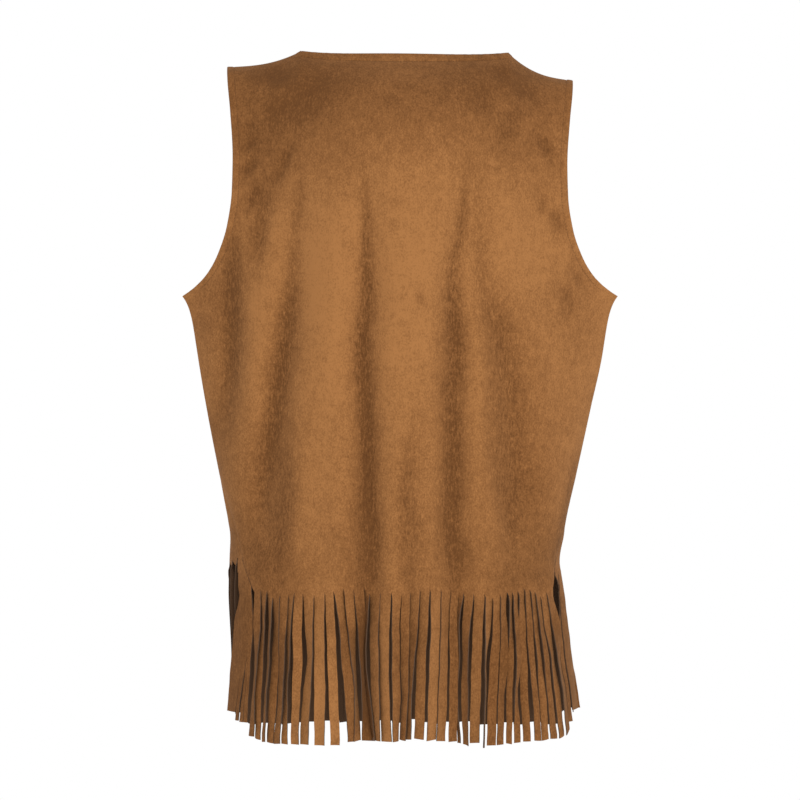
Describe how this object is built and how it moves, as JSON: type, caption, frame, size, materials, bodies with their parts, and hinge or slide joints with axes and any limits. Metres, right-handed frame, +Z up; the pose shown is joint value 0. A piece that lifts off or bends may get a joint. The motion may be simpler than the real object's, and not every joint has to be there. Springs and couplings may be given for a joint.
{
  "type": "gilet",
  "caption": "Sleeveless open-front gilet in brown suede-look cloth with a V neck, turned and topstitched edges and a hem cut into a long strip fringe.",
  "frame": {"origin": "midway between the two neck points, at the height where the wearer's shoulders carry the garment", "axes": "+X towards the wearer's right, +Y forwards from the wearer's chest, +Z up"},
  "size_m": [0.4972, 0.2375, 0.7735],
  "materials": {
    "suede": "brown suede-look cloth with a short matt nap"
  },
  "bodies": {
    "root": {"back_panel": "suede", "left_front": "suede", "right_front": "suede", "back_fringe": "suede", "left_fringe": "suede", "right_fringe": "suede"}
  },
  "joints": []
}
